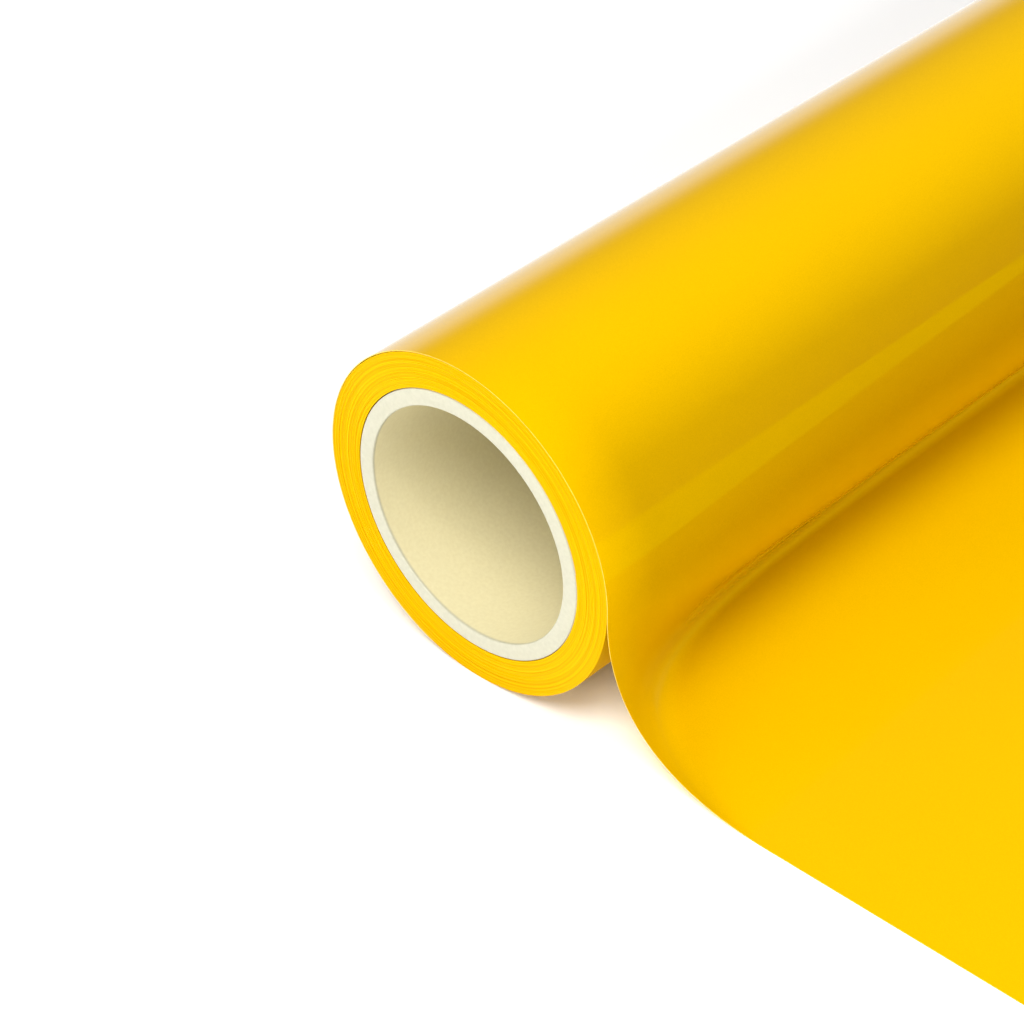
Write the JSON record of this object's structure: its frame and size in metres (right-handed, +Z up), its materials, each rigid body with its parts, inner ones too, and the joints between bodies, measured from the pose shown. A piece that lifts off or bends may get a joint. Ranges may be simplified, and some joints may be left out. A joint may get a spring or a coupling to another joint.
{
  "type": "roll of sign vinyl",
  "caption": "Roll of yellow sign vinyl on a plastic core with a through bore, its outermost turn unrolled over one side and lying flat.",
  "frame": {"origin": "on the core's axis, halfway along the core", "axes": "+Y along the core away from the end that shows the bore, +Z up, +X towards the unrolled end"},
  "size_m": [0.5555, 0.61, 0.1105],
  "materials": {
    "vinyl_film": "semi-gloss",
    "wound_edges": "satin",
    "adhesive": "gloss",
    "release_liner": "satin",
    "core_plastic": "satin",
    "starter_tape": "satin"
  },
  "bodies": {
    "free_web": {"free_liner": "release_liner", "free_adhesive": "adhesive", "free_film": "vinyl_film"},
    "roll": {"core_tube": "core_plastic", "starter_tape": "starter_tape", "wound_web": "wound_edges"}
  },
  "joints": [
    {"name": "roll_spin", "type": "hinge", "parent": "free_web", "child": "roll", "pos_m": [0, 0, 0], "axis": [0, 1, 0], "continuous": true}
  ]
}
